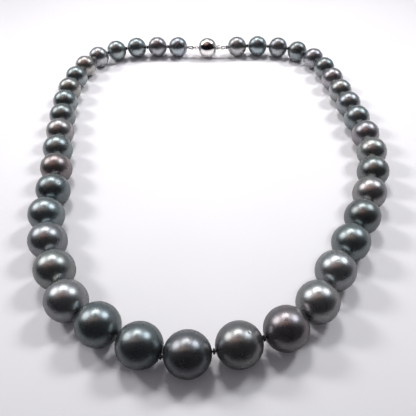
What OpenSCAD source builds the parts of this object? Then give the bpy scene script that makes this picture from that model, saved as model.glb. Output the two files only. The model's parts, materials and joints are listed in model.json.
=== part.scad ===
// Graduated pearl necklace, knotted on silk and closed with a ball clasp.
// It lies closed on a flat surface at z = 0, with the clasp at the back (+Y),
// the largest pearl at the front (-Y) and the origin under the middle of its box.
// Pearl 1 is next to the clasp's ball, on the -X side, and the numbers run
// round the front to the last pearl, next to the clasp's tongue.

/* [Pearls] */
// Diameter of the largest pearl, at the front
front_d = 12.5; // [11:0.1:14]
// Diameter of the smallest pearls, beside the clasp
back_d = 8.8; // [8:0.1:9.6]
// Diameter of the hole drilled through each pearl
drill_d = 0.8; // [0.7:0.05:1]

/* [Silk] */
// Diameter of the silk that runs through the pearls
silk_d = 0.56; // [0.4:0.02:0.6]
// Gap between neighbouring pearls, which the knot fills
knot_gap = 0.9; // [0.8:0.05:1.2]
// Room between a knot and the pearl on each side of it
knot_play = 0.03; // [0.02:0.01:0.05]

/* [Loop outline] */
// Heading of the front pearl's drill hole, above the X axis on its right
front_heading = 8; // [6:0.5:10]
// How far the clasp hangs inside the line between the last knots
clasp_sag = 0.5; // [0.2:0.1:1]
// Angle between the link ring and the clasp's axis
link_swing = 10; // [4:1:20]

/* [Clasp ball] */
// Outer diameter of the ball
ball_d = 8.8; // [8.4:0.1:9.6]
// Thickness of the ball's shell
shell_t = 0.35; // [0.3:0.05:0.4]
// Width of the slot that the tongue enters
slot_w = 2.4; // [2.4:0.05:2.6]
// Height of the slot's upper edge above the ball's centre
slot_top = 0.42; // [0.4:0.01:0.44]
// Depth of the slot's lower edge below the ball's centre
slot_bottom = 0.5; // [0.5:0.02:0.6]
// Width of the notch above the slot, where the thumb tab passes
notch_w = 1.2; // [1.2:0.05:1.3]
// Height of the notch's upper edge above the ball's centre
notch_top = 1.1; // [1.1:0.05:1.3]

/* [Rings and gimp] */
// Wire diameter of the link ring and of the tongue's ring
ring_wire_d = 0.4; // [0.36:0.02:0.42]
// Wire diameter of the ball's eye
eye_wire_d = 0.44; // [0.4:0.02:0.46]
// Outer diameter of the gimp, the coiled wire sleeve over the silk
gimp_d = 0.5; // [0.46:0.02:0.52]
// Inner diameter of the gimp
gimp_bore_d = 0.28; // [0.26:0.02:0.3]
// Diameter of the silk inside the gimp
gimp_silk_d = 0.24; // [0.2:0.02:0.24]

/* [Tongue] */
// Width of both leaves
tongue_w = 2; // [1.8:0.05:2]
// Thickness of the lower leaf
lower_leaf_t = 0.3; // [0.26:0.02:0.3]
// Thickness of the upper leaf
upper_leaf_t = 0.22; // [0.18:0.02:0.24]
// Width of the thumb tab
tab_w = 0.8; // [0.7:0.05:0.8]

/* [Hidden] */
round_fn = 96;
wire_fn = 40;
side_pearls = 20;
pearl_count = 2 * side_pearls + 1;
right = 1;
left = -1;

// Outline: each side's stretches from the front to the clasp, and in each stretch
// the number of knots and the degrees turned over them; below 0 it bends outwards
right_side = [[2, 20.5], [1, 33], [2, 2], [3, 14.5], [2, 20], [5, 6.5], [3, 61.5], [2, 24]];
left_side = [
    [1, 38], [1, -4.5], [2, 48.5], [1, -14.5], [1, 28.5], [2, -9.5], [4, 4.5], [3, 21.5], [3, 68], [2, 10.5]
];
// The pearls' diameters fall along half a cosine wave, and are level over the last few
level_from = 18;
knot_r = knot_gap / 2 - knot_play;

// Body colour of each pearl, from pearl 1: one letter each, looked up in tone_colour
tones = "bpggstgogdtgadgbosddvnassgdtdopgbopdpdbgt";
metal = "#d9d5d3";
silk_black = "#1b1b1e";

// Clasp, measured from the ball's centre along the clasp's axis
ball_r = ball_d / 2;
bore_r = ball_r - shell_t;
touch_gap = 0.04;
eye_ring_r = 0.62;
eye_x = -(ball_r + eye_ring_r + eye_wire_d / 2 + 0.06);
eye_hinge_x = eye_x - eye_ring_r;
post_r = 0.34;
post_play = 0.02;
post_inside = 0.15;
link_hole_r = 0.62;
link_ring_r = link_hole_r + ring_wire_d / 2;
link_gimp_x = -(link_hole_r - gimp_d / 2 - touch_gap);
link_eye_x = link_hole_r - eye_wire_d / 2 - touch_gap;
link_reach = link_eye_x - link_gimp_x;
tongue_hole_r = 0.5;
tongue_ring_r = tongue_hole_r + ring_wire_d / 2;
tongue_ring_x = ball_r + 1.7;
tongue_hinge_x = tongue_ring_x + tongue_hole_r - gimp_d / 2 - touch_gap;
neck_x = tongue_ring_x - tongue_ring_r - ring_wire_d / 2;
neck_w = 1;
catch_x = 3.2;
catch_t = 0.3;
slot_play = 0.1;

// Tongue: the upper leaf turns about a rolled fold at the lower leaf's inner end
fold_r = 0.28;
fold_x = -1.4;
lower_leaf_z = -slot_bottom + 0.08;
lower_leaf_top = lower_leaf_z + lower_leaf_t;
fold_z = lower_leaf_z + fold_r;
leaf_end_x = catch_x - 0.06;
leaf_root_x = fold_x + fold_r + 0.02;
leaf_root_z = lower_leaf_top + 0.08;
leaf_end_z = slot_top + 0.04;
tab_foot_x = leaf_end_x - 0.7;
tab_t = 0.25;
tab_arch_x = ball_r + 0.95;
tab_arch_r = 0.55;
tab_open_a = 40;

// Gimp loops
gimp_loop_r = 0.6;
gimp_mouth_z = 0.27;
arm_sunk = 0.05;
arm_thinner = 0.01;

function tone_colour(letter) =
    letter == "g" ? "#5f7c7b" :
    letter == "d" ? "#3f5050" :
    letter == "b" ? "#5c6b78" :
    letter == "p" ? "#7a7886" :
    letter == "s" ? "#8b9293" :
    letter == "o" ? "#7b8072" :
    letter == "t" ? "#7d716c" :
    letter == "a" ? "#6a5a5e" :
    letter == "v" ? "#4a5361" :
    "#55585a";

// Sizes along a side: k counts pearls from the front pearl, which is 0
function pearl_d(k) =
    back_d + (front_d - back_d) * (1 + cos(180 * min(k / level_from, 1))) / 2;
function pearl_r(k) = pearl_d(k) / 2;
function reach(k) = pearl_r(k) + knot_gap / 2;

// Degrees turned at each knot of a side, and the heading of each pearl's hole
function bends(stretches) =
    [for (s = stretches) for (i = [1 : s[0]]) s[1] / s[0]];
function first_sum(values, n) = n <= 0 ? 0 : values[n - 1] + first_sum(values, n - 1);
function headings(side) =
    let (turns = bends(side == right ? right_side : left_side))
    [for (k = [0 : side_pearls]) side * front_heading + first_sum(turns, k)];
function along(side, heading) = [side * cos(heading), sin(heading)];

// Centres of a side's pearls in plan, starting from the front pearl at the origin
function centres(side) =
    let (head = headings(side))
    [for (
        k = 0, c = [0, 0];
        k <= side_pearls;
        c = k < side_pearls
            ? c + reach(k) * along(side, head[k]) + reach(k + 1) * along(side, head[k + 1])
            : c,
        k = k + 1
    ) c];

right_heads = headings(right);
left_heads = headings(left);
raw_right = centres(right);
raw_left = centres(left);

// Move the loop so that the middle of its box is over the origin
function lows(points, axis) = [for (k = [0 : side_pearls]) points[k][axis] - pearl_r(k)];
function highs(points, axis) = [for (k = [0 : side_pearls]) points[k][axis] + pearl_r(k)];
function middle(axis) =
    (min(min(lows(raw_right, axis)), min(lows(raw_left, axis)))
    + max(max(highs(raw_right, axis)), max(highs(raw_left, axis)))) / 2;
front = -[middle(0), middle(1)];

// A pearl is known by its number; its side and its count from the front follow
function side_of(i) = i > side_pearls ? right : left;
function count_of(i) = abs(i - side_pearls - 1);
function pearl_xy(i) = front + (side_of(i) == right ? raw_right : raw_left)[count_of(i)];
function pearl_heading(i) = (side_of(i) == right ? right_heads : left_heads)[count_of(i)];
function pearl_name(i) = str("pearl_", i < 10 ? "0" : "", i);

// Knot k of a side is on the clasp side of pearl k; the last one is beside the clasp
function knot_xy(side, k) =
    front + (side == right ? raw_right : raw_left)[k]
    + reach(k) * along(side, (side == right ? right_heads : left_heads)[k]);
function knot_z(k) =
    k < 0 ? pearl_r(0) : k >= side_pearls ? pearl_r(side_pearls) : (pearl_r(k) + pearl_r(k + 1)) / 2;
// Slope of a pearl's hole between the knots at its two ends
function pitch(k) = asin((knot_z(k) - knot_z(k - 1)) / (2 * reach(k)));

// The clasp's axis is parallel to X, and both gimp loops reach from a knot to it
last_left = knot_xy(left, side_pearls);
last_right = knot_xy(right, side_pearls);
ball_xy = [
    (last_left[0] + last_right[0]) / 2,
    min(last_left[1], last_right[1]) - clasp_sag
];
eye_hinge = ball_xy + [eye_hinge_x, 0];
tongue_hinge = ball_xy + [tongue_hinge_x, 0];
link_hinge = eye_hinge - link_reach * [cos(link_swing), sin(link_swing)];
left_gimp_l = norm(link_hinge - last_left);
right_gimp_l = norm(tongue_hinge - last_right);
left_gimp_a = atan2(link_hinge[1] - last_left[1], link_hinge[0] - last_left[0]);
right_gimp_a = atan2(tongue_hinge[1] - last_right[1], tongue_hinge[0] - last_right[0]);
// Where each gimp starts: clear of the pearl's mouth, or of the end knot
left_gimp_x0 = -knot_gap / 2 + 0.12;
right_gimp_x0 = knot_r + 0.03;

// One drilled pearl, and its own length of silk with the knot on its front side
module pearl(i) {
    k = count_of(i);
    r = pearl_r(k);
    side = side_of(i);
    turn = side == right ? pearl_heading(i) : 180 - pearl_heading(i);
    translate([pearl_xy(i)[0], pearl_xy(i)[1], r])
        rotate([0, 0, turn])
            rotate([0, -pitch(k), 0]) {
                color(tone_colour(tones[i - 1]))
                    bead(r);
                color(silk_black)
                    silk(k);
            }
}

// A ball of radius r with the drill hole through it along X
module bead(r) {
    rotate([0, 90, 0])
        rotate_extrude($fn = round_fn)
            intersection() {
                circle(r = r, $fn = round_fn);
                translate([drill_d / 2, -r])
                    square([r, 2 * r]);
            }
}

// Silk inside pearl k; every pearl but the front one starts with a knot
module silk(k) {
    mouth = pearl_r(k) - 0.02;
    start = k == 0 ? mouth : reach(k);
    translate([-start, 0, 0])
        rotate([0, 90, 0])
            rotate_extrude($fn = wire_fn)
                union() {
                    square([silk_d / 2, start + mouth]);
                    if (k > 0)
                        intersection() {
                            circle(r = knot_r, $fn = wire_fn);
                            translate([0, -knot_r])
                                square([knot_r, 2 * knot_r]);
                        }
                }
}

// The knot that ties off the silk beside the last pearl
module end_knot() {
    color(silk_black)
        translate([last_right[0], last_right[1], pearl_r(side_pearls)])
            sphere(r = knot_r, $fn = wire_fn);
}

// Hairpin of round wire from the origin along +X: a bend whose far strand stands
// upright at x = reach_x, and two arms that close in on the ends at x = start_x.
// The arms are a little thinner than the bend, and are sunk into its ends.
module hairpin(wire_r, reach_x, start_x, overrun) {
    arc_x = reach_x - gimp_loop_r;
    run = arc_x - start_x;
    lean = atan((gimp_loop_r - gimp_mouth_z) / run);
    arm = run / cos(lean) - gimp_loop_r * sin(lean);
    translate([arc_x, 0, 0])
        union() {
            rotate([90, -90 - lean, 0])
                rotate_extrude(angle = 180 + 2 * lean, $fn = round_fn)
                    translate([gimp_loop_r, 0])
                        circle(r = wire_r, $fn = wire_fn);
            for (up = [1, -1])
                rotate([0, -90 - up * lean, 0])
                    translate([up * gimp_loop_r, 0, -arm_sunk])
                        cylinder(r = wire_r - arm_thinner, h = arm_sunk + arm + overrun, $fn = wire_fn);
        }
}

// Gimp sleeve: a hairpin with its bore taken out
module gimp(reach_x, start_x) {
    difference() {
        hairpin(gimp_d / 2, reach_x, start_x, 0);
        hairpin(gimp_bore_d / 2, reach_x, start_x, 0.5);
    }
}

module at_left_gimp() {
    translate([last_left[0], last_left[1], ball_r])
        rotate([0, 0, left_gimp_a])
            children();
}

module at_right_gimp() {
    translate([last_right[0], last_right[1], ball_r])
        rotate([0, 0, right_gimp_a])
            children();
}

module at_ball() {
    translate([ball_xy[0], ball_xy[1], ball_r])
        children();
}

module gimp_left() {
    color(metal)
        at_left_gimp()
            gimp(left_gimp_l, left_gimp_x0);
}

module thread_loop_left() {
    color(silk_black)
        at_left_gimp()
            hairpin(gimp_silk_d / 2, left_gimp_l, left_gimp_x0, 0);
}

module gimp_right() {
    color(metal)
        at_right_gimp()
            gimp(right_gimp_l, right_gimp_x0);
}

module thread_loop_right() {
    color(silk_black)
        at_right_gimp()
            hairpin(gimp_silk_d / 2, right_gimp_l, right_gimp_x0, 0);
}

module ring(ring_r, wire_d) {
    rotate_extrude($fn = round_fn)
        translate([ring_r, 0])
            circle(d = wire_d, $fn = wire_fn);
}

// Flat link between the gimp loop and the ball's eye
module link_ring() {
    color(metal)
        translate([link_hinge[0], link_hinge[1], ball_r])
            rotate([0, 0, link_swing])
                translate([-link_gimp_x, 0, 0])
                    ring(link_ring_r, ring_wire_d);
}

// Upright ring on a short post that goes through the ball's pole
module ball_eye() {
    color(metal)
        at_ball()
            union() {
                translate([eye_x, 0, 0])
                    rotate([90, 0, 0])
                        ring(eye_ring_r, eye_wire_d);
                translate([-ball_r - eye_wire_d / 2, 0, 0])
                    rotate([0, 90, 0])
                        cylinder(r = post_r, h = eye_wire_d / 2 + shell_t + post_inside, $fn = wire_fn);
            }
}

// Hollow half of the ball, on the side that the argument names
module half_ball(side) {
    difference() {
        sphere(r = ball_r, $fn = round_fn);
        sphere(r = bore_r, $fn = round_fn);
        translate([side == right ? -ball_d : 0, -ball_d, -ball_d])
            cube([ball_d, 2 * ball_d, 2 * ball_d]);
    }
}

module ball_shell_left() {
    color(metal)
        at_ball()
            difference() {
                half_ball(left);
                translate([-ball_d, 0, 0])
                    rotate([0, 90, 0])
                        cylinder(r = post_r + post_play, h = ball_d, $fn = wire_fn);
            }
}

// The slot and the notch above it, cut along X from x = from_x
module slot(from_x, depth, play) {
    translate([from_x, -slot_w / 2 - play, -slot_bottom - play])
        cube([depth, slot_w + 2 * play, slot_bottom + slot_top + 2 * play]);
    translate([from_x, -notch_w / 2 - play, 0])
        cube([depth, notch_w + 2 * play, notch_top + play]);
}

module ball_shell_right() {
    color(metal)
        at_ball()
            difference() {
                half_ball(right);
                slot(ball_r - 1, 2, slot_play);
            }
}

// Radius of the catch plate's rim at x, where it meets the inside of the ball
function catch_rim(x) = sqrt(bore_r * bore_r - x * x);

// Slotted plate inside the ball; the upper leaf's free end rests behind it
module ball_catch() {
    color(metal)
        at_ball()
            difference() {
                rotate([0, 90, 0])
                    rotate_extrude($fn = round_fn)
                        polygon([
                            [0, catch_x],
                            [catch_rim(catch_x), catch_x],
                            [catch_rim(catch_x + catch_t), catch_x + catch_t],
                            [0, catch_x + catch_t]
                        ]);
                slot(catch_x - 1, 2, 0);
            }
}

module strip(width, outline) {
    rotate([90, 0, 0])
        linear_extrude(height = width, center = true)
            polygon(outline);
}

// Flat lower leaf, with the rolled fold at its inner end
module tongue_lower_leaf() {
    color(metal)
        at_ball()
            union() {
                strip(tongue_w, [
                    [fold_x, lower_leaf_z],
                    [neck_x, lower_leaf_z],
                    [neck_x, lower_leaf_top],
                    [fold_x, lower_leaf_top]
                ]);
                translate([fold_x, 0, fold_z])
                    rotate([90, 0, 0])
                        cylinder(r = fold_r, h = tongue_w, center = true, $fn = wire_fn);
            }
}

// Springy upper leaf, rising from the fold to the catch
module tongue_upper_leaf() {
    color(metal)
        at_ball()
            strip(tongue_w, [
                [leaf_root_x, leaf_root_z],
                [leaf_end_x, leaf_end_z],
                [leaf_end_x, leaf_end_z + upper_leaf_t],
                [leaf_root_x, leaf_root_z + upper_leaf_t]
            ]);
}

// Height of the upper leaf's top face at x
function leaf_top(x) =
    leaf_root_z + upper_leaf_t
    + (leaf_end_z - leaf_root_z) * (x - leaf_root_x) / (leaf_end_x - leaf_root_x);

// Thumb tab: a foot on the upper leaf, a strip out through the notch and an arch
module thumb_tab() {
    foot_top = leaf_top(leaf_end_x) + tab_t;
    color(metal)
        at_ball()
            union() {
                strip(tab_w, [
                    [tab_foot_x, leaf_top(tab_foot_x)],
                    [leaf_end_x, leaf_top(leaf_end_x)],
                    [tab_arch_x - tab_arch_r + tab_t / 2, leaf_top(leaf_end_x)],
                    [tab_arch_x - tab_arch_r + tab_t / 2, foot_top],
                    [tab_foot_x, foot_top]
                ]);
                translate([tab_arch_x, 0, foot_top - tab_t])
                    rotate([90, -tab_open_a, 0])
                        rotate_extrude(angle = 180 - tab_open_a, $fn = round_fn)
                            translate([tab_arch_r - tab_t / 2, 0])
                                square([tab_t, tab_w], center = true);
            }
}

// Flat ring at the tongue's outer end, joined to it by a short neck
module tongue_ring() {
    color(metal)
        at_ball()
            union() {
                translate([tongue_ring_x, 0, 0])
                    ring(tongue_ring_r, ring_wire_d);
                translate([neck_x, -neck_w / 2, lower_leaf_z])
                    cube([ring_wire_d, neck_w, -lower_leaf_z]);
            }
}

for (i = [1 : pearl_count])
    pearl(i);
end_knot();
gimp_left();
thread_loop_left();
gimp_right();
thread_loop_right();
link_ring();
ball_eye();
ball_shell_left();
ball_shell_right();
ball_catch();
tongue_lower_leaf();
tongue_upper_leaf();
thumb_tab();
tongue_ring();
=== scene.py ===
"""A graduated strand of dark pearls with a polished ball clasp, laid out on a pale table."""
import json
import math
import random

import bmesh
import bpy
import numpy as np
from mathutils import Matrix, Vector

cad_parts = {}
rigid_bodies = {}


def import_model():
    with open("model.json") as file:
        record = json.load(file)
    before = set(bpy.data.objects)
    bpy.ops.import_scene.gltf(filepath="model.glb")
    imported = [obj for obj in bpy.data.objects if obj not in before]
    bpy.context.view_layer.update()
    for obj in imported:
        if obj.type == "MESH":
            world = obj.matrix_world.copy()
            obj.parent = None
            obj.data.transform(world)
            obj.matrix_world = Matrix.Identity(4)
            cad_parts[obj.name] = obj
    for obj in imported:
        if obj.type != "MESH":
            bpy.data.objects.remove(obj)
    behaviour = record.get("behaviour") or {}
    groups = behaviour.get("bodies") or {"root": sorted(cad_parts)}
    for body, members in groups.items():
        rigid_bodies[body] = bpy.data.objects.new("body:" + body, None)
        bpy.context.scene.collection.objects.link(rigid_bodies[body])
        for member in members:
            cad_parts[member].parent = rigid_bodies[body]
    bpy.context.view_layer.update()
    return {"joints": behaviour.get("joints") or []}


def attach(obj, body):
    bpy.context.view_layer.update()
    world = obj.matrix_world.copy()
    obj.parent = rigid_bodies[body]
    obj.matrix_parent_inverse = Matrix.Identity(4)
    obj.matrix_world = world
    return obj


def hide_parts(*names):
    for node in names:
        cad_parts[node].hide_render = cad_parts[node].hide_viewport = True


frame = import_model()

MM = 0.001
PEARLS = 41
FRONT = 21

# ---------------------------------------------------------------- places, from the frame
joint_at = {j["name"]: np.array(j["pos_m"]) / MM for j in frame["joints"]}
ends = {}
for j in frame["joints"]:
    for body in (j["parent"], j["child"]):
        ends.setdefault(body, {})[j["name"]] = np.array(j["pos_m"]) / MM


def body_of(i):
    return f"pearl_{i:02d}"


def knot_ends(i):
    """The knots at the two ends of pearl i: front side, clasp side. The front pearl's: left, right."""
    first, second = list(ends[body_of(i)].values())[:2]
    if i == FRONT:
        return (first, second) if first[0] < second[0] else (second, first)
    front_joint = next(j for j in frame["joints"] if j["child"] == body_of(i))
    start = np.array(front_joint["pos_m"]) / MM
    other = second if np.allclose(first, start) else first
    return start, other


KNOT_GAP = 0.9          # between neighbouring pearls
BALL_R = 4.4
EYE_TO_BALL = 5.92      # from the hinge in the eye to the ball's centre
AXIS_R = 1e-3           # a turned outline starts this far off its axis, so that no face closes to nothing
ball_centre = joint_at["link_ball"] + np.array([EYE_TO_BALL, 0, 0])


# Where the random draws start
NACRE_SEED = 100
KNOT_SEED = 500
TIE_OFF_SEED = 600


# ---------------------------------------------------------------- mesh building
def grid_faces(rows, cols, close_rows, close_cols):
    """Quads over a grid of points kept row by row; a closed direction joins up with its start."""
    faces = []
    for i in range(rows if close_rows else rows - 1):
        for j in range(cols if close_cols else cols - 1):
            down = (i + 1) % rows
            right = (j + 1) % cols
            faces.append((i * cols + j, i * cols + right, down * cols + right, down * cols + j))
    return faces


class Shape:
    """Points and faces of one piece, in millimetres, gathered part by part."""

    def __init__(self):
        self.points = []
        self.faces = []

    def add(self, points, faces):
        offset = len(self.points)
        self.points.extend(tuple(p) for p in points)
        self.faces.extend(tuple(offset + n for n in face) for face in faces)
        return self

    def add_grid(self, grid, close_rows, close_cols, caps=False):
        rows, cols = grid.shape[:2]
        faces = grid_faces(rows, cols, close_rows, close_cols)
        if caps:
            faces.append(tuple(reversed(range(cols))))
            faces.append(tuple((rows - 1) * cols + n for n in range(cols)))
        return self.add(grid.reshape(-1, 3), faces)

    def placed(self, matrix):
        """Moves the shape by a 4 x 4 matrix."""
        self.points = [tuple(matrix @ Vector(p)) for p in self.points]
        return self


def frames_along(path, closed):
    """Two unit vectors across a path at each of its points, turning as little as possible."""
    count = len(path)
    if closed:
        tangents = np.roll(path, -1, 0) - np.roll(path, 1, 0)
    else:
        tangents = np.gradient(path, axis=0)
    tangents /= np.linalg.norm(tangents, axis=1)[:, None]
    start = np.array([0.0, 0.0, 1.0])
    if abs(tangents[0] @ start) > 0.9:
        start = np.array([0.0, 1.0, 0.0])
    across = [start - tangents[0] * (start @ tangents[0])]
    for t in tangents[1:]:
        across.append(across[-1] - t * (across[-1] @ t))
    across = np.array([a / np.linalg.norm(a) for a in across])
    if closed:
        last = across[-1] - tangents[0] * (across[-1] @ tangents[0])
        last /= np.linalg.norm(last)
        turn = math.atan2(np.cross(last, across[0]) @ tangents[0], last @ across[0])
        spread = np.arange(count) / count * turn
        other = np.cross(tangents, across)
        across = across * np.cos(spread)[:, None] + other * np.sin(spread)[:, None]
    return across, np.cross(tangents, across)


def sweep(path, radius, sides, closed=False, lobes=0, lobe_depth=0.0, turns=0.0):
    """A tube along a path. Lobes make it a twisted thread of that many plies."""
    path = np.asarray(path, float)
    across, other = frames_along(path, closed)
    angles = np.arange(sides) * 2 * math.pi / sides
    radius = np.broadcast_to(np.asarray(radius, float), (len(path),))
    spin = np.linspace(0, turns * 2 * math.pi, len(path))
    lobe = 1 - lobe_depth * (0.5 - 0.5 * np.cos(lobes * (angles[None, :] + spin[:, None])))
    if not lobes:
        lobe = np.ones((len(path), sides))
    reach = (radius[:, None] * lobe)[..., None]
    return (
        path[:, None, :]
        + reach * (np.cos(angles)[None, :, None] * across[:, None, :]
                   + np.sin(angles)[None, :, None] * other[:, None, :])
    )


def rounded_tube(shape, path, radius, sides):
    """Adds a tube along an open path, with its ends rounded over, to the shape."""
    path = np.asarray(path, float)
    step_in = (path[0] - path[1]) / np.linalg.norm(path[0] - path[1])
    step_out = (path[-1] - path[-2]) / np.linalg.norm(path[-1] - path[-2])
    bend = [0.35, 0.7]
    before = [path[0] + step_in * radius * b for b in reversed(bend)]
    after = [path[-1] + step_out * radius * b for b in bend]
    radii = [radius * math.sqrt(1 - b * b) for b in bend]
    whole = np.vstack([before, path, after])
    sizes = np.concatenate([radii[::-1], np.full(len(path), radius), radii])
    return shape.add_grid(sweep(whole, sizes, sides), False, True, caps=True)


def revolve(outline, segments):
    """Points of an outline of (x, radius) turned about the X axis."""
    angles = np.arange(segments) * 2 * math.pi / segments
    outline = np.asarray(outline, float)
    return np.stack([
        np.repeat(outline[:, 0:1], segments, 1),
        outline[:, 1:2] * np.cos(angles)[None, :],
        outline[:, 1:2] * np.sin(angles)[None, :],
    ], axis=2)


def place(origin, along):
    """A matrix that sends +X to the direction along, keeps it upright, and moves to origin."""
    x = Vector(along).normalized()
    y = Vector((0, 0, 1)).cross(x).normalized()
    z = x.cross(y)
    turn = Matrix((x, y, z)).transposed().to_4x4()
    return Matrix.Translation(Vector(origin)) @ turn


BEVEL_ABOVE = 30        # degrees between two faces


def new_object(name, shape, bevel=None):
    """The Blender object of a shape, in metres, with its faces turned outwards."""
    mesh = bpy.data.meshes.new(name)
    mesh.from_pydata([tuple(c * MM for c in p) for p in shape.points], [], shape.faces)
    work = bmesh.new()
    work.from_mesh(mesh)
    bmesh.ops.recalc_face_normals(work, faces=work.faces)
    if bevel:
        limit = math.radians(BEVEL_ABOVE)
        corners = [e for e in work.edges if e.is_manifold and e.calc_face_angle(0) > limit]
        bmesh.ops.bevel(
            work, geom=corners, offset=bevel * MM, segments=3, profile=0.5,
            affect="EDGES", clamp_overlap=True,
        )
    work.to_mesh(mesh)
    work.free()
    made = bpy.data.objects.new(name, mesh)
    bpy.context.scene.collection.objects.link(made)
    return made


def finish_piece(name, shape, material, body, replaced=(), sharp=None, bevel=None):
    """Makes a piece and says what it rides on and stands for. Sharp is in degrees, bevel in mm."""
    piece = new_object(name, shape, bevel)
    mesh = piece.data
    mesh.shade_smooth()
    if sharp:
        mesh.set_sharp_from_angle(angle=math.radians(sharp))
    mesh.materials.append(material)
    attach(piece, body)
    if replaced:
        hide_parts(*replaced)
    return piece


# ---------------------------------------------------------------- materials
def new_material(name):
    """A material with a principled shader, its node tree and that shader."""
    material = bpy.data.materials.new(name)
    material.use_nodes = True
    tree = material.node_tree
    tree.nodes.clear()
    shader = tree.nodes.new("ShaderNodeBsdfPrincipled")
    output = tree.nodes.new("ShaderNodeOutputMaterial")
    tree.links.new(shader.outputs[0], output.inputs[0])
    return material, tree, shader


def noise(tree, size, detail=2.0, roughness=0.5, stretch=(1, 1, 1), offset=(0, 0, 0)):
    """A noise texture whose features are about size millimetres across."""
    coords = tree.nodes.new("ShaderNodeTexCoord")
    mapping = tree.nodes.new("ShaderNodeMapping")
    mapping.inputs["Scale"].default_value = stretch
    mapping.inputs["Location"].default_value = offset
    texture = tree.nodes.new("ShaderNodeTexNoise")
    texture.inputs["Scale"].default_value = 1 / (size * MM)
    texture.inputs["Detail"].default_value = detail
    texture.inputs["Roughness"].default_value = roughness
    tree.links.new(coords.outputs["Object"], mapping.inputs["Vector"])
    tree.links.new(mapping.outputs[0], texture.inputs["Vector"])
    return texture.outputs["Fac"]


def ramp(tree, value, stops):
    """A colour ramp over value; stops are (position, colour or grey)."""
    node = tree.nodes.new("ShaderNodeValToRGB")
    node.color_ramp.interpolation = "B_SPLINE"
    elements = node.color_ramp.elements
    while len(elements) > 1:
        elements.remove(elements[-1])
    for n, (position, colour) in enumerate(stops):
        element = elements[0] if n == 0 else elements.new(position)
        element.position = position
        if not hasattr(colour, "__len__"):
            colour = (colour, colour, colour)
        element.color = (*colour, 1)
    tree.links.new(value, node.inputs[0])
    return node.outputs[0]


def mix(tree, factor, a, b, blend="MIX"):
    """A mix of two colours; each input is a socket, a colour or a number."""
    node = tree.nodes.new("ShaderNodeMix")
    node.data_type = "RGBA"
    node.blend_type = blend
    for socket, value in ((node.inputs[0], factor), (node.inputs[6], a), (node.inputs[7], b)):
        if hasattr(value, "is_output"):
            tree.links.new(value, socket)
        elif hasattr(value, "__len__"):
            socket.default_value = (*value, 1)
        else:
            socket.default_value = value
    return node.outputs[2]


NOISE_LOW = 0.3
NOISE_HIGH = 0.7


def remap(tree, value, low, high):
    """Spreads the band that a noise mostly keeps to over the values from low to high."""
    node = tree.nodes.new("ShaderNodeMapRange")
    node.inputs["From Min"].default_value = NOISE_LOW
    node.inputs["From Max"].default_value = NOISE_HIGH
    node.inputs["To Min"].default_value = low
    node.inputs["To Max"].default_value = high
    tree.links.new(value, node.inputs["Value"])
    return node.outputs[0]


def bump(tree, height, depth, below=None):
    """A bump of depth millimetres, on top of an earlier bump if one is given."""
    node = tree.nodes.new("ShaderNodeBump")
    node.inputs["Strength"].default_value = 1.0
    node.inputs["Distance"].default_value = depth * MM
    tree.links.new(height, node.inputs["Height"])
    if below is not None:
        tree.links.new(below, node.inputs["Normal"])
    return node.outputs[0]


# Body colour face on, and the overtone that shows towards the rim, painted a little lighter there as a
# sheen
TONES = {
    "b": ("pearl_blue_grey", (0.309, 0.329, 0.348), (0.352, 0.368, 0.389)),
    "p": ("pearl_purple_silver", (0.338, 0.332, 0.358), (0.384, 0.379, 0.400)),
    "g": ("pearl_teal_green", (0.266, 0.306, 0.313), (0.327, 0.365, 0.371)),
    "s": ("pearl_silver", (0.373, 0.38, 0.386), (0.421, 0.426, 0.431)),
    "t": ("pearl_taupe", (0.364, 0.351, 0.345), (0.405, 0.394, 0.389)),
    "o": ("pearl_pistachio", (0.345, 0.358, 0.345), (0.398, 0.408, 0.398)),
    "d": ("pearl_dark_green", (0.231, 0.257, 0.261), (0.298, 0.325, 0.325)),
    "a": ("pearl_aubergine", (0.317, 0.284, 0.29), (0.367, 0.339, 0.344)),
    "v": ("pearl_midnight", (0.246, 0.259, 0.279), (0.308, 0.320, 0.341)),
    "n": ("pearl_charcoal", (0.291, 0.295, 0.298), (0.353, 0.357, 0.359)),
}
TONE_ORDER = "bpggstgogdtgadgbosddvnassgdtdopgbopdpdbgt"


NACRE_LIFT = (0.92, 1.08)
NACRE_TILT = 0.012
# Painted dark edge at the very rim, as a share of the overtone
EDGE_SHADE = 0.35       # of the overtone, at the very rim


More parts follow.
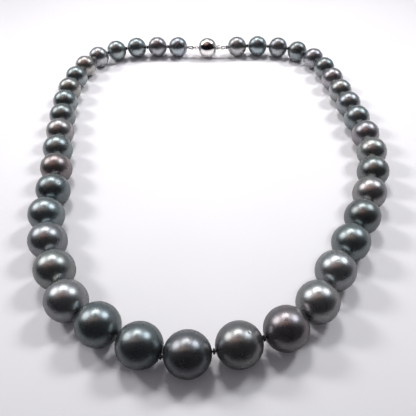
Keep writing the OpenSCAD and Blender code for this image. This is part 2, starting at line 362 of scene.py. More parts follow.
def nacre(i):
    """Nacre of pearl i: a soft metallic lustre under a clear skin, clouded and finely pitted."""
    slot, face, rim = TONES[TONE_ORDER[i - 1]]
    material, tree, shader = new_material(f"nacre_{i:02d}")
    draw = random.Random(NACRE_SEED + i)
    lift = draw.uniform(*NACRE_LIFT)
    tilt = draw.uniform(-NACRE_TILT, NACRE_TILT)
    face = (face[0] * lift + tilt, face[1] * lift, face[2] * lift - tilt)
    edge = tuple(c * EDGE_SHADE for c in rim)
    seat = tuple(draw.uniform(0, 50) for _ in range(3))
    # Painted sheen and shade: by how squarely the surface faces the view, the colour turns lighter towards
    # the rim, then dark at the very rim; the hue shift there is the pearl's own overtone
    facing = tree.nodes.new("ShaderNodeLayerWeight")
    facing.inputs["Blend"].default_value = 0.45
    overtone_and_painted_rim = ramp(tree, facing.outputs["Facing"], [(0.0, face), (0.2, face), (0.55, rim), (1.0, edge)])
    clouds = noise(tree, 5.0, detail=3, offset=seat)
    warm = tuple(c * f for c, f in zip(face, (1.12, 0.98, 0.94)))
    cool = tuple(c * f for c, f in zip(face, (0.88, 1.02, 1.06)))
    drift = ramp(tree, clouds, [(0.3, warm), (0.5, face), (0.7, cool)])
    colour = mix(tree, 0.35, overtone_and_painted_rim, drift)
    tree.links.new(colour, shader.inputs["Base Color"])
    haze = noise(tree, 1.6, detail=4, offset=seat)
    tree.links.new(remap(tree, haze, 0.26, 0.33), shader.inputs["Roughness"])
    dimples = noise(tree, 1.3, detail=2, offset=seat)
    skin = noise(tree, 0.22, detail=3, offset=seat)
    relief = bump(tree, dimples, 0.02)
    tree.links.new(bump(tree, skin, 0.004, relief), shader.inputs["Normal"])
    shader.inputs["Metallic"].default_value = 0.92
    shader.inputs["Coat Weight"].default_value = 0.22
    shader.inputs["Coat Roughness"].default_value = 0.14
    shader.inputs["Coat IOR"].default_value = 1.45
    return material, slot


def white_metal():
    """Polished white metal with the fine scratches of wear."""
    material, tree, shader = new_material("polished_white_metal")
    stain = noise(tree, 2.5, detail=3)
    tree.links.new(
        ramp(tree, stain, [(0.3, (0.66, 0.63, 0.61)), (0.6, (0.76, 0.735, 0.725))]),
        shader.inputs["Base Color"],
    )
    tree.links.new(remap(tree, noise(tree, 0.7, detail=4), 0.04, 0.11), shader.inputs["Roughness"])
    scratches = noise(tree, 0.5, detail=5, roughness=0.7, stretch=(1, 9, 4))
    soft = noise(tree, 1.8, detail=1)
    relief = bump(tree, soft, 0.006)
    tree.links.new(bump(tree, scratches, 0.0012, relief), shader.inputs["Normal"])
    shader.inputs["Metallic"].default_value = 1.0
    return material


def gimp_metal():
    """Plated wire of the gimp coils, darker and lighter in fine random specks, and rougher in places."""
    material, tree, shader = new_material("gimp_wire")
    tree.links.new(
        ramp(tree, noise(tree, 0.4, detail=3), [(0.3, (0.20, 0.175, 0.165)), (0.7, (0.42, 0.39, 0.375))]),
        shader.inputs["Base Color"],
    )
    tree.links.new(remap(tree, noise(tree, 0.25, detail=2), 0.3, 0.42), shader.inputs["Roughness"])
    tree.links.new(bump(tree, noise(tree, 0.08, detail=2), 0.002), shader.inputs["Normal"])
    shader.inputs["Metallic"].default_value = 1.0
    return material


def silk_thread():
    """Dark beading silk: matt, with fine fibres."""
    material, tree, shader = new_material("dark_silk")
    fibres = noise(tree, 0.09, detail=4, roughness=0.65, stretch=(1, 3, 3))
    tree.links.new(
        ramp(tree, fibres, [(0.3, (0.006, 0.006, 0.008)), (0.7, (0.03, 0.028, 0.034))]),
        shader.inputs["Base Color"],
    )
    tree.links.new(remap(tree, fibres, 0.7, 0.9), shader.inputs["Roughness"])
    tree.links.new(bump(tree, fibres, 0.02), shader.inputs["Normal"])
    shader.inputs["Sheen Weight"].default_value = 0.25
    shader.inputs["Sheen Roughness"].default_value = 0.4
    return material


METAL = white_metal()
GIMP = gimp_metal()
SILK = silk_thread()


# ---------------------------------------------------------------- pearls
BORE_R = 0.4
RIM = 0.07              # the worn edge of the drill hole
SMOOTH_MESH = (88, 52)  # steps round the bore, and from hole to hole
PITTED_MESH = (176, 104)
OUT_OF_ROUND = 0.009    # share of the radius
PIT_SIZE = (0.22, 0.45)
PIT_DEPTH = (0.05, 0.11)
PIT_SCATTER = 0.28

# Pits on the pearls that have them: how many, and where they gather (towards +X, +Y, +Z)
PITS = {
    22: (7, (0.45, -0.35, 0.8)),
    25: (8, (0.1, -0.2, 0.95)),
    30: (4, (-0.3, -0.5, 0.8)),
    21: (3, (0.1, -0.9, 0.5)),
    24: (4, (0.5, -0.6, 0.6)),
    18: (3, (-0.2, -0.5, 0.85)),
    14: (3, (0.4, -0.5, 0.75)),
    9: (2, (0.3, -0.7, 0.6)),
    35: (3, (-0.2, -0.2, 0.95)),
}


def pearl_outline(radius, rows):
    """Once round a drilled pearl's section: over the outside, then back through the bore."""
    start = math.asin((BORE_R + RIM) / radius)
    outside = [
        (-radius * math.cos(a), radius * math.sin(a))
        for a in np.linspace(start, math.pi - start, rows)
    ]
    mouth = radius * math.cos(start)
    rim = [(mouth - 0.02, BORE_R + 0.025), (mouth - 0.09, BORE_R)]
    return outside + rim + [(-x, r) for x, r in reversed(rim)]


def worn_shape(grid, rows, radius, draw, pits, turn):
    """Draws the outside in a little, unevenly, and sinks pits into it. Nothing stands proud."""
    outside = grid[:rows]
    directions = outside / np.linalg.norm(outside, axis=2)[..., None]
    swell = np.zeros(outside.shape[:2])
    for power in (1, 2, 3):
        axis = np.array([draw.gauss(0, 1) for _ in range(3)])
        axis /= np.linalg.norm(axis)
        swell += draw.uniform(0.2, 1.0) / power * (directions @ axis) ** (power + 1)
    swell -= swell.min()
    sink = OUT_OF_ROUND * swell / swell.max() * radius
    count, towards = pits
    towards = turn @ np.array(towards)
    for _ in range(count):
        scatter = np.array([draw.gauss(0, PIT_SCATTER) for _ in range(3)])
        middle = towards / np.linalg.norm(towards) + scatter
        middle /= np.linalg.norm(middle)
        size = draw.uniform(*PIT_SIZE)
        depth = draw.uniform(*PIT_DEPTH)
        away = np.linalg.norm(directions - middle, axis=2) * radius / size
        sink += depth * np.clip(1 - away ** 2, 0, 1) ** 2
    fade = np.clip((np.arange(rows)[:, None] - 1) / 4, 0, 1)
    fade = np.minimum(fade, fade[::-1])
    grid[:rows] = outside - directions * (sink * fade)[..., None]


def bead_shape(i, start, end):
    """One drilled pearl between the knots at start and end."""
    flat = math.hypot(end[0] - start[0], end[1] - start[1])
    radius = (flat - KNOT_GAP) / 2
    pits = PITS.get(i, (0, (0, 0, 1)))
    segments, rows = PITTED_MESH if pits[0] else SMOOTH_MESH
    outline = pearl_outline(radius, rows)
    grid = revolve(outline, segments)
    matrix = place((start + end) / 2, end - start)
    turn = np.array(matrix.to_3x3()).T
    worn_shape(grid, rows, radius, random.Random(i), pits, turn)
    return Shape().add_grid(grid, True, True).placed(matrix)


# ---------------------------------------------------------------- silk and knots
SILK_R = 0.28
SILK_TWIST = 1.6        # length of one turn
KNOT_RING_R = 0.53
KNOT_WIND_R = 0.14
KNOT_THREAD_R = (0.205, 0.22)
FIBRE_R = 0.018
FIBRE_LENGTH = (0.12, 0.28)


def silk_shape(start, end):
    """Twisted silk from knot to knot, through the pearl."""
    path = np.linspace(start, end, 60)
    turns = np.linalg.norm(end - start) / SILK_TWIST
    return Shape().add_grid(
        sweep(path, SILK_R, 12, lobes=3, lobe_depth=0.22, turns=turns), False, True, caps=True
    )


def knot_shape(centre, along, draw):
    """An overhand knot with a few loose fibres; the more its two pearls bend, the tighter it is.

    The vector along is the sum of the unit vectors along those pearls.
    """
    ring_r = KNOT_RING_R * (np.linalg.norm(along) / 2) ** 4
    thread_r = draw.uniform(*KNOT_THREAD_R)
    steps = np.linspace(0, 2 * math.pi, 72, endpoint=False)
    reach = ring_r + KNOT_WIND_R * np.cos(3 * steps)
    path = np.stack([
        KNOT_WIND_R * np.sin(3 * steps),
        reach * np.cos(2 * steps),
        reach * np.sin(2 * steps) * draw.uniform(1.0, 1.12),
    ], axis=1)
    shape = Shape().add_grid(
        sweep(path, thread_r, 12, closed=True, lobes=3, lobe_depth=0.16, turns=9), True, True
    )
    for _ in range(draw.randint(3, 5)):
        angle = draw.uniform(0, 2 * math.pi)
        out = np.array([draw.uniform(-0.25, 0.25), math.cos(angle), math.sin(angle)])
        bend = np.array([draw.uniform(-0.5, 0.5), draw.uniform(-0.5, 0.5), draw.uniform(-0.3, 0.3)])
        length = draw.uniform(*FIBRE_LENGTH)
        hair = [out * (0.8 + length * t) + bend * length * t * t for t in np.linspace(0, 1, 5)]
        rounded_tube(shape, hair, FIBRE_R, 5)
    spin = Matrix.Rotation(draw.uniform(0, 2 * math.pi), 4, "X")
    return shape.placed(place(centre, along) @ spin)


def along_knot(i):
    """Direction through the knot on the front side of pearl i, halfway between its two pearls."""
    neighbour = i + 1 if i < FRONT else i - 1
    total = np.zeros(3)
    for n in (i, neighbour):
        start, end = knot_ends(n)
        if n == FRONT and i < FRONT:
            start, end = end, start
        total += (end - start) / np.linalg.norm(end - start)
    return total


def string_pearls():
    """Each pearl, the silk through it and the knot on its front side, and the knot that ends the strand."""
    for i in range(1, PEARLS + 1):
        start, end = knot_ends(i)
        material, slot = nacre(i)
        body = body_of(i)
        finish_piece(f"bead_{i:02d}", bead_shape(i, start, end), material, body, [body], sharp=50)
        finish_piece(f"silk_{i:02d}", silk_shape(start, end), SILK, body)
        if i != FRONT:
            knot = knot_shape(start, along_knot(i), random.Random(KNOT_SEED + i))
            finish_piece(f"knot_{i:02d}", knot, SILK, body)
        if i == PEARLS:
            along = 2 * (end - start) / np.linalg.norm(end - start)
            knot = knot_shape(end, along, random.Random(TIE_OFF_SEED))
            finish_piece("tie_off_knot", knot, SILK, body, ["end_knot"])


# ---------------------------------------------------------------- clasp
def local_ball(shape):
    """A shape drawn about the ball's centre, put where the ball is."""
    return shape.placed(Matrix.Translation(Vector(ball_centre)))


def torus(centre, ring_r, wire_r, upright=False, rounds=72, sides=20):
    """A ring of round wire, flat or standing in the XZ plane."""
    steps = np.linspace(0, 2 * math.pi, rounds, endpoint=False)
    zero = np.zeros(rounds)
    if upright:
        path = np.stack([np.cos(steps), zero, np.sin(steps)], axis=1)
    else:
        path = np.stack([np.cos(steps), np.sin(steps), zero], axis=1)
    return sweep(np.array(centre) + ring_r * path, wire_r, sides, closed=True)


GIMP_R = 0.25
GIMP_WIRE_R = 0.058
GIMP_PITCH = 2.02       # wire radii from turn to turn
GIMP_LOOP_R = 0.6
GIMP_MOUTH = 0.27       # half the distance between the arms at the knot
GIMP_CORE_R = 0.12
# Where the arms of each gimp loop start, from the hinge at its knot
GIMP_STARTS = {"left": -KNOT_GAP / 2 + 0.12, "right": 0.45}


def hairpin_path(reach, start):
    """Centreline of a hairpin from the origin along +X, with its bend upright at the far end."""
    arc_x = reach - GIMP_LOOP_R
    run = arc_x - start
    lean = math.atan((GIMP_LOOP_R - GIMP_MOUTH) / run)
    bend = [
        (arc_x + GIMP_LOOP_R * math.sin(a), 0, GIMP_LOOP_R * math.cos(a))
        for a in np.linspace(-lean, math.pi + lean, 40)
    ]
    arm = np.linspace(0, 1, 14, endpoint=False)
    first = Vector(bend[0])
    upper = [tuple(Vector((start, 0, GIMP_MOUTH)).lerp(first, t)) for t in arm]
    lower = [(x, y, -z) for x, y, z in reversed(upper)]
    return np.array(upper + bend + lower)


def coil_shape(path, steps_per_turn=14):
    """Close-wound wire along a path."""
    lengths = np.linalg.norm(np.diff(path, axis=0), axis=1)
    at = np.concatenate([[0], np.cumsum(lengths)])
    turns = int(at[-1] / (GIMP_PITCH * GIMP_WIRE_R))
    steps = np.linspace(0, at[-1], turns * steps_per_turn)
    centre = np.stack([np.interp(steps, at, path[:, k]) for k in range(3)], axis=1)
    across, other = frames_along(centre, False)
    angle = steps / at[-1] * turns * 2 * math.pi
    wind_r = GIMP_R - GIMP_WIRE_R
    wire = centre + wind_r * (np.cos(angle)[:, None] * across + np.sin(angle)[:, None] * other)
    return rounded_tube(Shape(), wire, GIMP_WIRE_R, 6)


def gimp_pair(side, start_joint, end_joint):
    """A gimp coil and the silk inside it, from the last knot to the clasp."""
    origin = joint_at[start_joint].copy()
    reach_to = joint_at[end_joint]
    origin[2] = reach_to[2] = ball_centre[2]
    path = hairpin_path(np.linalg.norm(reach_to - origin), GIMP_STARTS[side])
    matrix = place(origin, reach_to - origin)
    body = f"gimp_{side}"
    finish_piece(f"gimp_coil_{side}", coil_shape(path).placed(matrix), GIMP, body, [body])
    core = Shape().add_grid(
        sweep(path, GIMP_CORE_R, 10, lobes=3, lobe_depth=0.2, turns=6), False, True, caps=True
    )
    finish_piece(
        f"silk_loop_{side}", core.placed(matrix), SILK, body, [f"thread_loop_{side}"]
    )


SHELL_T = 0.35
SEAM = 0.03
BALL_SEGMENTS = 144
POST_R = 0.34
EYE_X = -5.3
EYE_R = 0.62
EYE_WIRE_R = 0.22
LINK_RING_R = 0.82
LINK_TO_RING = 0.33     # from the hinge in the gimp loop to the link ring's centre
RING_WIRE_R = 0.2


def ball_arc(radius, low_x, high_x, count):
    """Points (x, radius) of an arc about the ball's centre, from low_x to high_x."""
    first = math.acos(max(-1, min(1, low_x / radius)))
    last = math.acos(max(-1, min(1, high_x / radius)))
    return [(radius * math.cos(a), radius * math.sin(a)) for a in np.linspace(first, last, count)]


def half_ball_left():
    """The eye side: a closed skin with a hole for the post, and a softened seam edge."""
    hole = POST_R + 0.02
    pole = -math.sqrt(BALL_R ** 2 - (hole + 0.03) ** 2)
    inner = BALL_R - SHELL_T
    outer_arc = ball_arc(BALL_R, pole, -SEAM - 0.02, 60)
    seam = [(-SEAM * 0.4, BALL_R - 0.03), (0, BALL_R - 0.07), (0, inner)]
    inner_arc = list(reversed(ball_arc(inner, -math.sqrt(inner ** 2 - hole ** 2), 0, 40)))[1:]
    mouth = [(pole + 0.03, hole)]
    outline = outer_arc + seam + inner_arc + mouth
    return Shape().add_grid(revolve(outline, BALL_SEGMENTS), True, True)


def half_ball_right():
    """The slot side, still whole: the slot is cut into its mesh."""
    inner = BALL_R - SHELL_T
    outer_arc = [(x, max(r, AXIS_R)) for x, r in ball_arc(BALL_R, SEAM + 0.02, BALL_R, 60)]
    inner_arc = [(x, max(r, AXIS_R)) for x, r in reversed(ball_arc(inner, 0, inner, 40))]
    seam = [(0, inner), (0, BALL_R - 0.07), (SEAM * 0.4, BALL_R - 0.03)]
    outline = outer_arc + inner_arc[:-1] + seam
    return Shape().add_grid(revolve(outline, BALL_SEGMENTS), True, True)


SLOT_W = 2.6
SLOT_LOW = -0.6
SLOT_HIGH = 0.52
NOTCH_W = 1.3
NOTCH_TOP = 1.2
SLOT_SHARP = 30         # degrees


def slot_outline():
    """Section of the slot with the notch for the thumb tab's strip, in Y and Z."""
    return [
        (-SLOT_W / 2, SLOT_LOW), (SLOT_W / 2, SLOT_LOW), (SLOT_W / 2, SLOT_HIGH),
        (NOTCH_W / 2, SLOT_HIGH), (NOTCH_W / 2, NOTCH_TOP), (-NOTCH_W / 2, NOTCH_TOP),
        (-NOTCH_W / 2, SLOT_HIGH), (-SLOT_W / 2, SLOT_HIGH),
    ]


def prism(outline, low, high, across):
    """An outline carried along X (outline in Y, Z) or along Y (outline in X, Z)."""
    shape = Shape()
    count = len(outline)
    if across == "x":
        points = [(level, a, b) for level in (low, high) for a, b in outline]
    else:
        points = [(a, level, b) for level in (low, high) for a, b in outline]
    faces = [(n, (n + 1) % count, count + (n + 1) % count, count + n) for n in range(count)]
    faces.append(tuple(reversed(range(count))))
    faces.append(tuple(range(count, 2 * count)))
    return shape.add(points, faces)


def cut_slot(piece, from_x, to_x):
    """Cuts the slot through a piece of the ball."""
    cutter = new_object("slot_cutter", local_ball(prism(slot_outline(), from_x, to_x, "x")))
    cutter_mesh = cutter.data
    modifier = piece.modifiers.new("slot", "BOOLEAN")
    modifier.operation = "DIFFERENCE"
    modifier.object = cutter
    modifier.solver = "EXACT"
    depsgraph = bpy.context.evaluated_depsgraph_get()
    cut = bpy.data.meshes.new_from_object(piece.evaluated_get(depsgraph))
    piece.modifiers.clear()
    old = piece.data
    piece.data = cut
    bpy.data.meshes.remove(old)
    bpy.data.objects.remove(cutter)
    bpy.data.meshes.remove(cutter_mesh)
    cut.shade_smooth()
    cut.set_sharp_from_angle(angle=math.radians(SLOT_SHARP))


CATCH_X = 3.2
CATCH_T = 0.3


def catch_plate():
    """Slotted plate across the inside of the ball, behind the mouth of the slot."""
    inner = BALL_R - SHELL_T
    rims = [
        (x, math.sqrt(inner ** 2 - x ** 2) - 0.01) for x in np.linspace(CATCH_X, CATCH_X + CATCH_T, 4)
    ]
    outline = [(CATCH_X, AXIS_R)] + rims + [(CATCH_X + CATCH_T, AXIS_R)]
    return Shape().add_grid(revolve(outline, 96), True, True)


def post_shape():
    """The eye's post through the pole, with a fillet of solder."""
    outer = -BALL_R - 0.22
    inner = -BALL_R + SHELL_T + 0.15
    outline = [
        (outer, AXIS_R), (outer, POST_R * 0.8), (outer + 0.08, POST_R * 0.98),
        (outer + 0.14, POST_R), (-BALL_R - 0.04, POST_R), (inner - 0.05, POST_R),
        (inner, POST_R * 0.8), (inner, AXIS_R),
    ]
    return revolve(outline, 32)


TONGUE_HALF_W = 1.0
FOLD_X = -1.4
FOLD_Z = -0.14
FOLD_R = 0.28
NECK_X = 5.2
NECK_LENGTH = 0.4
NECK_HALF_W = 0.5
END_RING_X = 6.1
END_RING_R = 0.7
LEAF_LOW = -0.42
LEAF_TOP = -0.12
LEAF_ROOT_X = FOLD_X + 0.3
LEAF_ROOT_Z = -0.04     # underside
LEAF_END_X = 3.14
LEAF_END_Z = 0.46       # underside
LEAF_T = 0.22
TAB_T = 0.25
TAB_FOOT_X = 2.44
TAB_HALF_W = 0.4
TAB_ARCH_X = 5.35
TAB_ARCH_R = 0.55
TAB_ARCH_FROM = math.radians(28)
TAB_ARCH_TO = math.radians(140)


def end_ring():
    """Flat ring at the tongue's outer end, with the neck that joins it to the lower leaf."""
    shape = Shape().add_grid(torus((END_RING_X, 0, 0), END_RING_R, RING_WIRE_R), True, True)
    far_x = NECK_X + NECK_LENGTH
    neck = prism(
        [(NECK_X, LEAF_LOW), (far_x, LEAF_LOW), (far_x, 0), (NECK_X, 0)], -NECK_HALF_W, NECK_HALF_W, "y"
    )
    return shape.add(neck.points, neck.faces)


def lower_leaf():
    """Flat leaf with the rolled fold at its inner end."""
    outer_end = [(NECK_X, LEAF_LOW), (NECK_X, LEAF_TOP)]
    roll = [
        (FOLD_X + FOLD_R * math.cos(a), FOLD_Z + FOLD_R * math.sin(a))
        for a in np.linspace(math.radians(5), math.radians(265), 20)
    ]
    return prism(outer_end + roll, -TONGUE_HALF_W, TONGUE_HALF_W, "y")


def leaf_height(x):
    """Top of the springy leaf at x."""
    share = (x - LEAF_ROOT_X) / (LEAF_END_X - LEAF_ROOT_X)
    return LEAF_ROOT_Z + LEAF_T + (LEAF_END_Z - LEAF_ROOT_Z) * share


def upper_leaf():
    """Springy leaf that rises from the fold to its free end behind the catch plate."""
    steps = np.linspace(LEAF_ROOT_X, LEAF_END_X, 12)
    top = [(x, leaf_height(x)) for x in steps]
    under = [(x, z - LEAF_T) for x, z in reversed(top)]
    return prism(under + top, -TONGUE_HALF_W, TONGUE_HALF_W, "y")


def thumb_tab():
    """Foot on the leaf, a strip out through the notch, and the arch that the thumb presses."""
    base = leaf_height(LEAF_END_X)
    top = base + TAB_T

    def arch(radius, first, last):
        return [
            (TAB_ARCH_X - radius * math.cos(a), base + radius * math.sin(a))
            for a in np.linspace(first, last, 22)
        ]

    outer = arch(TAB_ARCH_R, TAB_ARCH_FROM, TAB_ARCH_TO)
    inner = arch(TAB_ARCH_R - TAB_T, TAB_ARCH_TO, 0)
    foot = [
        (TAB_FOOT_X, leaf_height(TAB_FOOT_X)), (TAB_FOOT_X, top - 0.08), (TAB_FOOT_X + 0.1, top),
        (outer[0][0] - 0.05, top),
    ]
    return prism(foot + outer + inner + [(LEAF_END_X, base)], -TAB_HALF_W, TAB_HALF_W, "y")


def build_clasp():
    """The gimp loops, the link ring, the ball with its eye and catch, and the tongue with its tab."""
    gimp_pair("left", "knot_01_gimp", "gimp_link")
    gimp_pair("right", "knot_41_gimp", "gimp_tongue")

    link = joint_at["gimp_link"]
    towards_eye = joint_at["link_ball"] - link
    centre = link + LINK_TO_RING * towards_eye / np.linalg.norm(towards_eye)
    centre[2] = ball_centre[2]
    ring = Shape().add_grid(torus(centre, LINK_RING_R, RING_WIRE_R), True, True)
    finish_piece("flat_link_ring", ring, METAL, "link_ring", ["link_ring"])

    eye = Shape().add_grid(torus((EYE_X, 0, 0), EYE_R, EYE_WIRE_R, upright=True), True, True)
    eye.add_grid(post_shape(), False, True, caps=True)
    finish_piece("eye_and_post", local_ball(eye), METAL, "ball", ["ball_eye"], sharp=40)

    left = local_ball(half_ball_left())
    finish_piece("half_ball_eye_side", left, METAL, "ball", ["ball_shell_left"], sharp=35)
    right = finish_piece(
        "half_ball_slot_side", local_ball(half_ball_right()), METAL, "ball",
        ["ball_shell_right"], sharp=35,
    )
    cut_slot(right, BALL_R - 1, BALL_R + 1)
    catch = finish_piece(
        "catch_plate", local_ball(catch_plate()), METAL, "ball", ["ball_catch"], sharp=30
    )
    cut_slot(catch, CATCH_X - 1, CATCH_X + 1)

    leaf = local_ball(lower_leaf())
    finish_piece("folded_leaf", leaf, METAL, "tongue", ["tongue_lower_leaf"], 35, 0.03)
    ring = local_ball(end_ring())
    finish_piece("end_ring", ring, METAL, "tongue", ["tongue_ring"], sharp=35)
    spring = local_ball(upper_leaf())
    finish_piece(
        "spring_leaf", spring, METAL, "tongue_leaf", ["tongue_upper_leaf"], 35, 0.03
    )
    tab = local_ball(thumb_tab())
    finish_piece("press_tab", tab, METAL, "tongue_leaf", ["thumb_tab"], 35, 0.05)


# ---------------------------------------------------------------- stage, light and camera
def stage_plane(name, corners, material):
    """A four-cornered sheet of the set, which isn't part of the necklace."""
    mesh = bpy.data.meshes.new(name)
    mesh.from_pydata([tuple(c * MM for c in p) for p in corners], [], [(0, 1, 2, 3)])
    plane = bpy.data.objects.new(name, mesh)
    bpy.context.scene.collection.objects.link(plane)
    mesh.materials.append(material)
    return plane


def table_material():
    """Plain pale table top with a faint lavender cast."""
    material, tree, shader = new_material("pale_table")
    tree.links.new(
        ramp(tree, noise(tree, 60, detail=2), [(0.3, (0.80, 0.785, 0.80)), (0.7, (0.84, 0.825, 0.84))]),
        shader.inputs["Base Color"],
    )
    shader.inputs["Roughness"].default_value = 0.55
    shader.inputs["Specular IOR Level"].default_value = 0.3
    return material


def black_card():
    """Black cloth of the card in front of the strand, which only reflections see."""
    material, _, shader = new_material("black_card")
    shader.inputs["Base Color"].default_value = (0.01, 0.009, 0.012, 1)
    shader.inputs["Roughness"].default_value = 1.0
    shader.inputs["Specular IOR Level"].default_value = 0.0
    return material


# Painted shade on the table that the pearls reflect, by share of the way from the front to the back: dark
# in front of the strand, grey under and inside it, pale behind
CARD_FROM_Y = -120
CARD_TO_Y = 80
CARD_PAINTED_SHADES = [
    (0.0, 0.02), (0.08, 0.10), (0.17, (0.42, 0.41, 0.42)), (0.5, (0.40, 0.39, 0.40)),
    (0.8, (0.60, 0.585, 0.60)), (0.96, (0.95, 0.93, 0.95)),
]


def painted_shade_card():
    """A copy of the table with painted shade, which only reflections see: dark in front of the strand and
    pale behind it.
    """
    material, tree, shader = new_material("table_card_painted_shade")
    coords = tree.nodes.new("ShaderNodeTexCoord")
    split = tree.nodes.new("ShaderNodeSeparateXYZ")
    tree.links.new(coords.outputs["Object"], split.inputs[0])
    depth = tree.nodes.new("ShaderNodeMapRange")
    depth.inputs["From Min"].default_value = CARD_FROM_Y * MM
    depth.inputs["From Max"].default_value = CARD_TO_Y * MM
    tree.links.new(split.outputs["Y"], depth.inputs["Value"])
    tree.links.new(ramp(tree, depth.outputs[0], CARD_PAINTED_SHADES), shader.inputs["Base Color"])
    shader.inputs["Roughness"].default_value = 0.9
    shader.inputs["Specular IOR Level"].default_value = 0.0
    return material


def only_reflected(card):
    """Hides a card from everything but the reflections in the pearls and the metal."""
    card.visible_camera = False
    card.visible_diffuse = False
    card.visible_shadow = False
    card.visible_transmission = False


TABLE_HALF = 1500
CARD_LIFT = 0.2
FRONT_CARD_HALF_W = 180
FRONT_CARD_Y = -190
FRONT_CARD_TOP = 420


def build_stage():
    """The table, and the two cards that only reflections see."""
    def sheet(height):
        return [
            (x * TABLE_HALF, y * TABLE_HALF, height) for x, y in ((-1, -1), (1, -1), (1, 1), (-1, 1))
        ]

    stage_plane("table", sheet(0), table_material())
    # A copy of the table, lifted a little, with painted shade that only reflections see
    only_reflected(stage_plane("reflected_table_painted_shade", sheet(CARD_LIFT), painted_shade_card()))
    upright = [
        (x * FRONT_CARD_HALF_W, FRONT_CARD_Y, z)
        for x, z in ((-1, CARD_LIFT), (1, CARD_LIFT), (1, FRONT_CARD_TOP), (-1, FRONT_CARD_TOP))
    ]
    only_reflected(stage_plane("card_front", upright, black_card()))


# The lights, in metres and degrees
LIGHT_AIM = Vector((0, 0.04, 0))
LIGHT_DISTANCE = 0.7
LIGHT_SIZE = 0.16
LIGHT_SPREAD = 50


def area_light(name, direction, power, tint=(1, 1, 1)):
    """A square soft light in a direction from the point aimed at, facing it. Reflections miss it."""
    light = bpy.data.lights.new(name, "AREA")
    light.size = LIGHT_SIZE
    light.spread = math.radians(LIGHT_SPREAD)
    light.color = tint
    light.energy = power
    lamp = bpy.data.objects.new(name, light)
    towards = Vector(direction).normalized()
    lamp.location = LIGHT_AIM + towards * LIGHT_DISTANCE
    lamp.rotation_euler = towards.to_track_quat("Z", "Y").to_euler()
    lamp.visible_glossy = False
    bpy.context.scene.collection.objects.link(lamp)


def glow(tree, sight, towards, spread, colour):
    """A soft-edged patch of the room in a direction; spread is its half width in degrees."""
    dot = tree.nodes.new("ShaderNodeVectorMath")
    dot.operation = "DOT_PRODUCT"
    dot.inputs[1].default_value = Vector(towards).normalized()
    tree.links.new(sight, dot.inputs[0])
    fall = tree.nodes.new("ShaderNodeMapRange")
    fall.interpolation_type = "SMOOTHSTEP"
    fall.inputs["From Min"].default_value = math.cos(math.radians(spread))
    fall.inputs["From Max"].default_value = math.cos(math.radians(spread * 0.3))
    tree.links.new(dot.outputs["Value"], fall.inputs["Value"])
    return mix(tree, fall.outputs[0], (0, 0, 0), colour)


# Directions of three windows over and behind the strand
WINDOWS = {
    "left": (-0.735, 0.258, 0.626),
    "middle": (-0.10, 0.40, 0.91),
    "right": (0.56, 0.36, 0.745),
}
# What the pearls reflect: direction, half width in degrees, colour. The windows come first, then the
# pale wall round them, then something warm overhead at the left
GLOWS = [
    (WINDOWS["left"], 22, (3.2, 3.2, 3.2)),
    (WINDOWS["middle"], 21, (6.4, 6.4, 6.3)),
    (WINDOWS["right"], 18, (3.8, 4.0, 4.2)),
    ((-0.3, 0.36, 0.88), 38, (0.40, 0.40, 0.41)),
    ((0.3, 0.38, 0.87), 34, (0.30, 0.32, 0.34)),
    ((-0.24, -0.08, 0.96), 36, (0.42, 0.245, 0.185)),
]
# Something dark stands in front of the middle window's lower edge
NOTCH_TOWARDS = (-0.06, 0.21, 0.976)
NOTCH_SPREAD = 17
NOTCH_COLOUR = (0.1, 0.08, 0.08)
# The room in front of the strand and behind it, as reflections see it, and where one becomes the other
ROOM_FRONT = (0.012, 0.012, 0.016)
ROOM_BACK = (0.33, 0.345, 0.36)
ROOM_TURN = (-0.15, 0.35)
# Plain light all round, and the plain backdrop that the camera sees
AMBIENT = (0.235, 0.228, 0.25)
BACKDROP = (0.96, 0.955, 0.965)


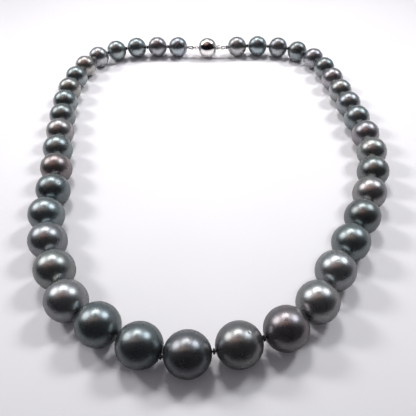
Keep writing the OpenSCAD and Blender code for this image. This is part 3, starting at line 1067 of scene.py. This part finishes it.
def build_light():
    """The room that the pearls reflect, plain light all round, and three soft lights."""
    world = bpy.data.worlds.new("soft_room")
    bpy.context.scene.world = world
    world.use_nodes = True
    tree = world.node_tree
    tree.nodes.clear()
    output = tree.nodes.new("ShaderNodeOutputWorld")
    background = tree.nodes.new("ShaderNodeBackground")
    coords = tree.nodes.new("ShaderNodeTexCoord")
    sight = coords.outputs["Generated"]
    split = tree.nodes.new("ShaderNodeSeparateXYZ")
    tree.links.new(sight, split.inputs[0])
    depth = tree.nodes.new("ShaderNodeMapRange")
    depth.interpolation_type = "SMOOTHSTEP"
    depth.inputs["From Min"].default_value = ROOM_TURN[0]
    depth.inputs["From Max"].default_value = ROOM_TURN[1]
    tree.links.new(split.outputs["Y"], depth.inputs["Value"])
    room = mix(tree, depth.outputs[0], ROOM_FRONT, ROOM_BACK)
    for towards, spread, colour in GLOWS:
        room = mix(tree, 1.0, room, glow(tree, sight, towards, spread, colour), "ADD")
    notch = glow(tree, sight, NOTCH_TOWARDS, NOTCH_SPREAD, (1, 1, 1))
    room = mix(tree, notch, room, NOTCH_COLOUR)
    path = tree.nodes.new("ShaderNodeLightPath")
    seen = mix(tree, path.outputs["Is Camera Ray"], AMBIENT, BACKDROP)
    light = mix(tree, path.outputs["Is Glossy Ray"], seen, room)
    tree.links.new(light, background.inputs["Color"])
    tree.links.new(background.outputs[0], output.inputs[0])

    area_light("window_left", WINDOWS["left"], 0.212)
    area_light("window_middle", WINDOWS["middle"], 0.186)
    area_light("window_right", WINDOWS["right"], 0.212, (0.96, 0.98, 1))


CAMERA_AT = (12.72, -159.51, 123.49)
CAMERA_PITCH = 45.7
CAMERA_YAW = -1.93
CAMERA_ROLL = -0.73
CAMERA_LENS = 47.24
CAMERA_SHIFT = (-0.048, 0.084)
CAMERA_SENSOR = 36


def build_camera():
    """The photo's camera. Its place is in millimetres and its angles are in degrees."""
    data = bpy.data.cameras.new("camera")
    data.lens = CAMERA_LENS
    data.sensor_width = CAMERA_SENSOR
    data.sensor_fit = "HORIZONTAL"
    data.shift_x, data.shift_y = CAMERA_SHIFT
    data.clip_start = 0.005
    pitch, yaw, roll = (math.radians(a) for a in (CAMERA_PITCH, CAMERA_YAW, CAMERA_ROLL))
    forward = Vector((math.sin(yaw) * math.cos(pitch), math.cos(yaw) * math.cos(pitch), -math.sin(pitch)))
    right = Vector((math.cos(yaw), -math.sin(yaw), 0))
    up = right.cross(forward)
    right, up = (
        right * math.cos(roll) + up * math.sin(roll),
        up * math.cos(roll) - right * math.sin(roll),
    )
    camera = bpy.data.objects.new("camera", data)
    turn = Matrix((right, up, -forward)).transposed().to_4x4()
    camera.matrix_world = Matrix.Translation(Vector(CAMERA_AT) * MM) @ turn
    bpy.context.scene.collection.objects.link(camera)
    bpy.context.scene.camera = camera


build_camera()
string_pearls()
build_clasp()
build_stage()
build_light()
bpy.context.scene.view_settings.view_transform = "Standard"
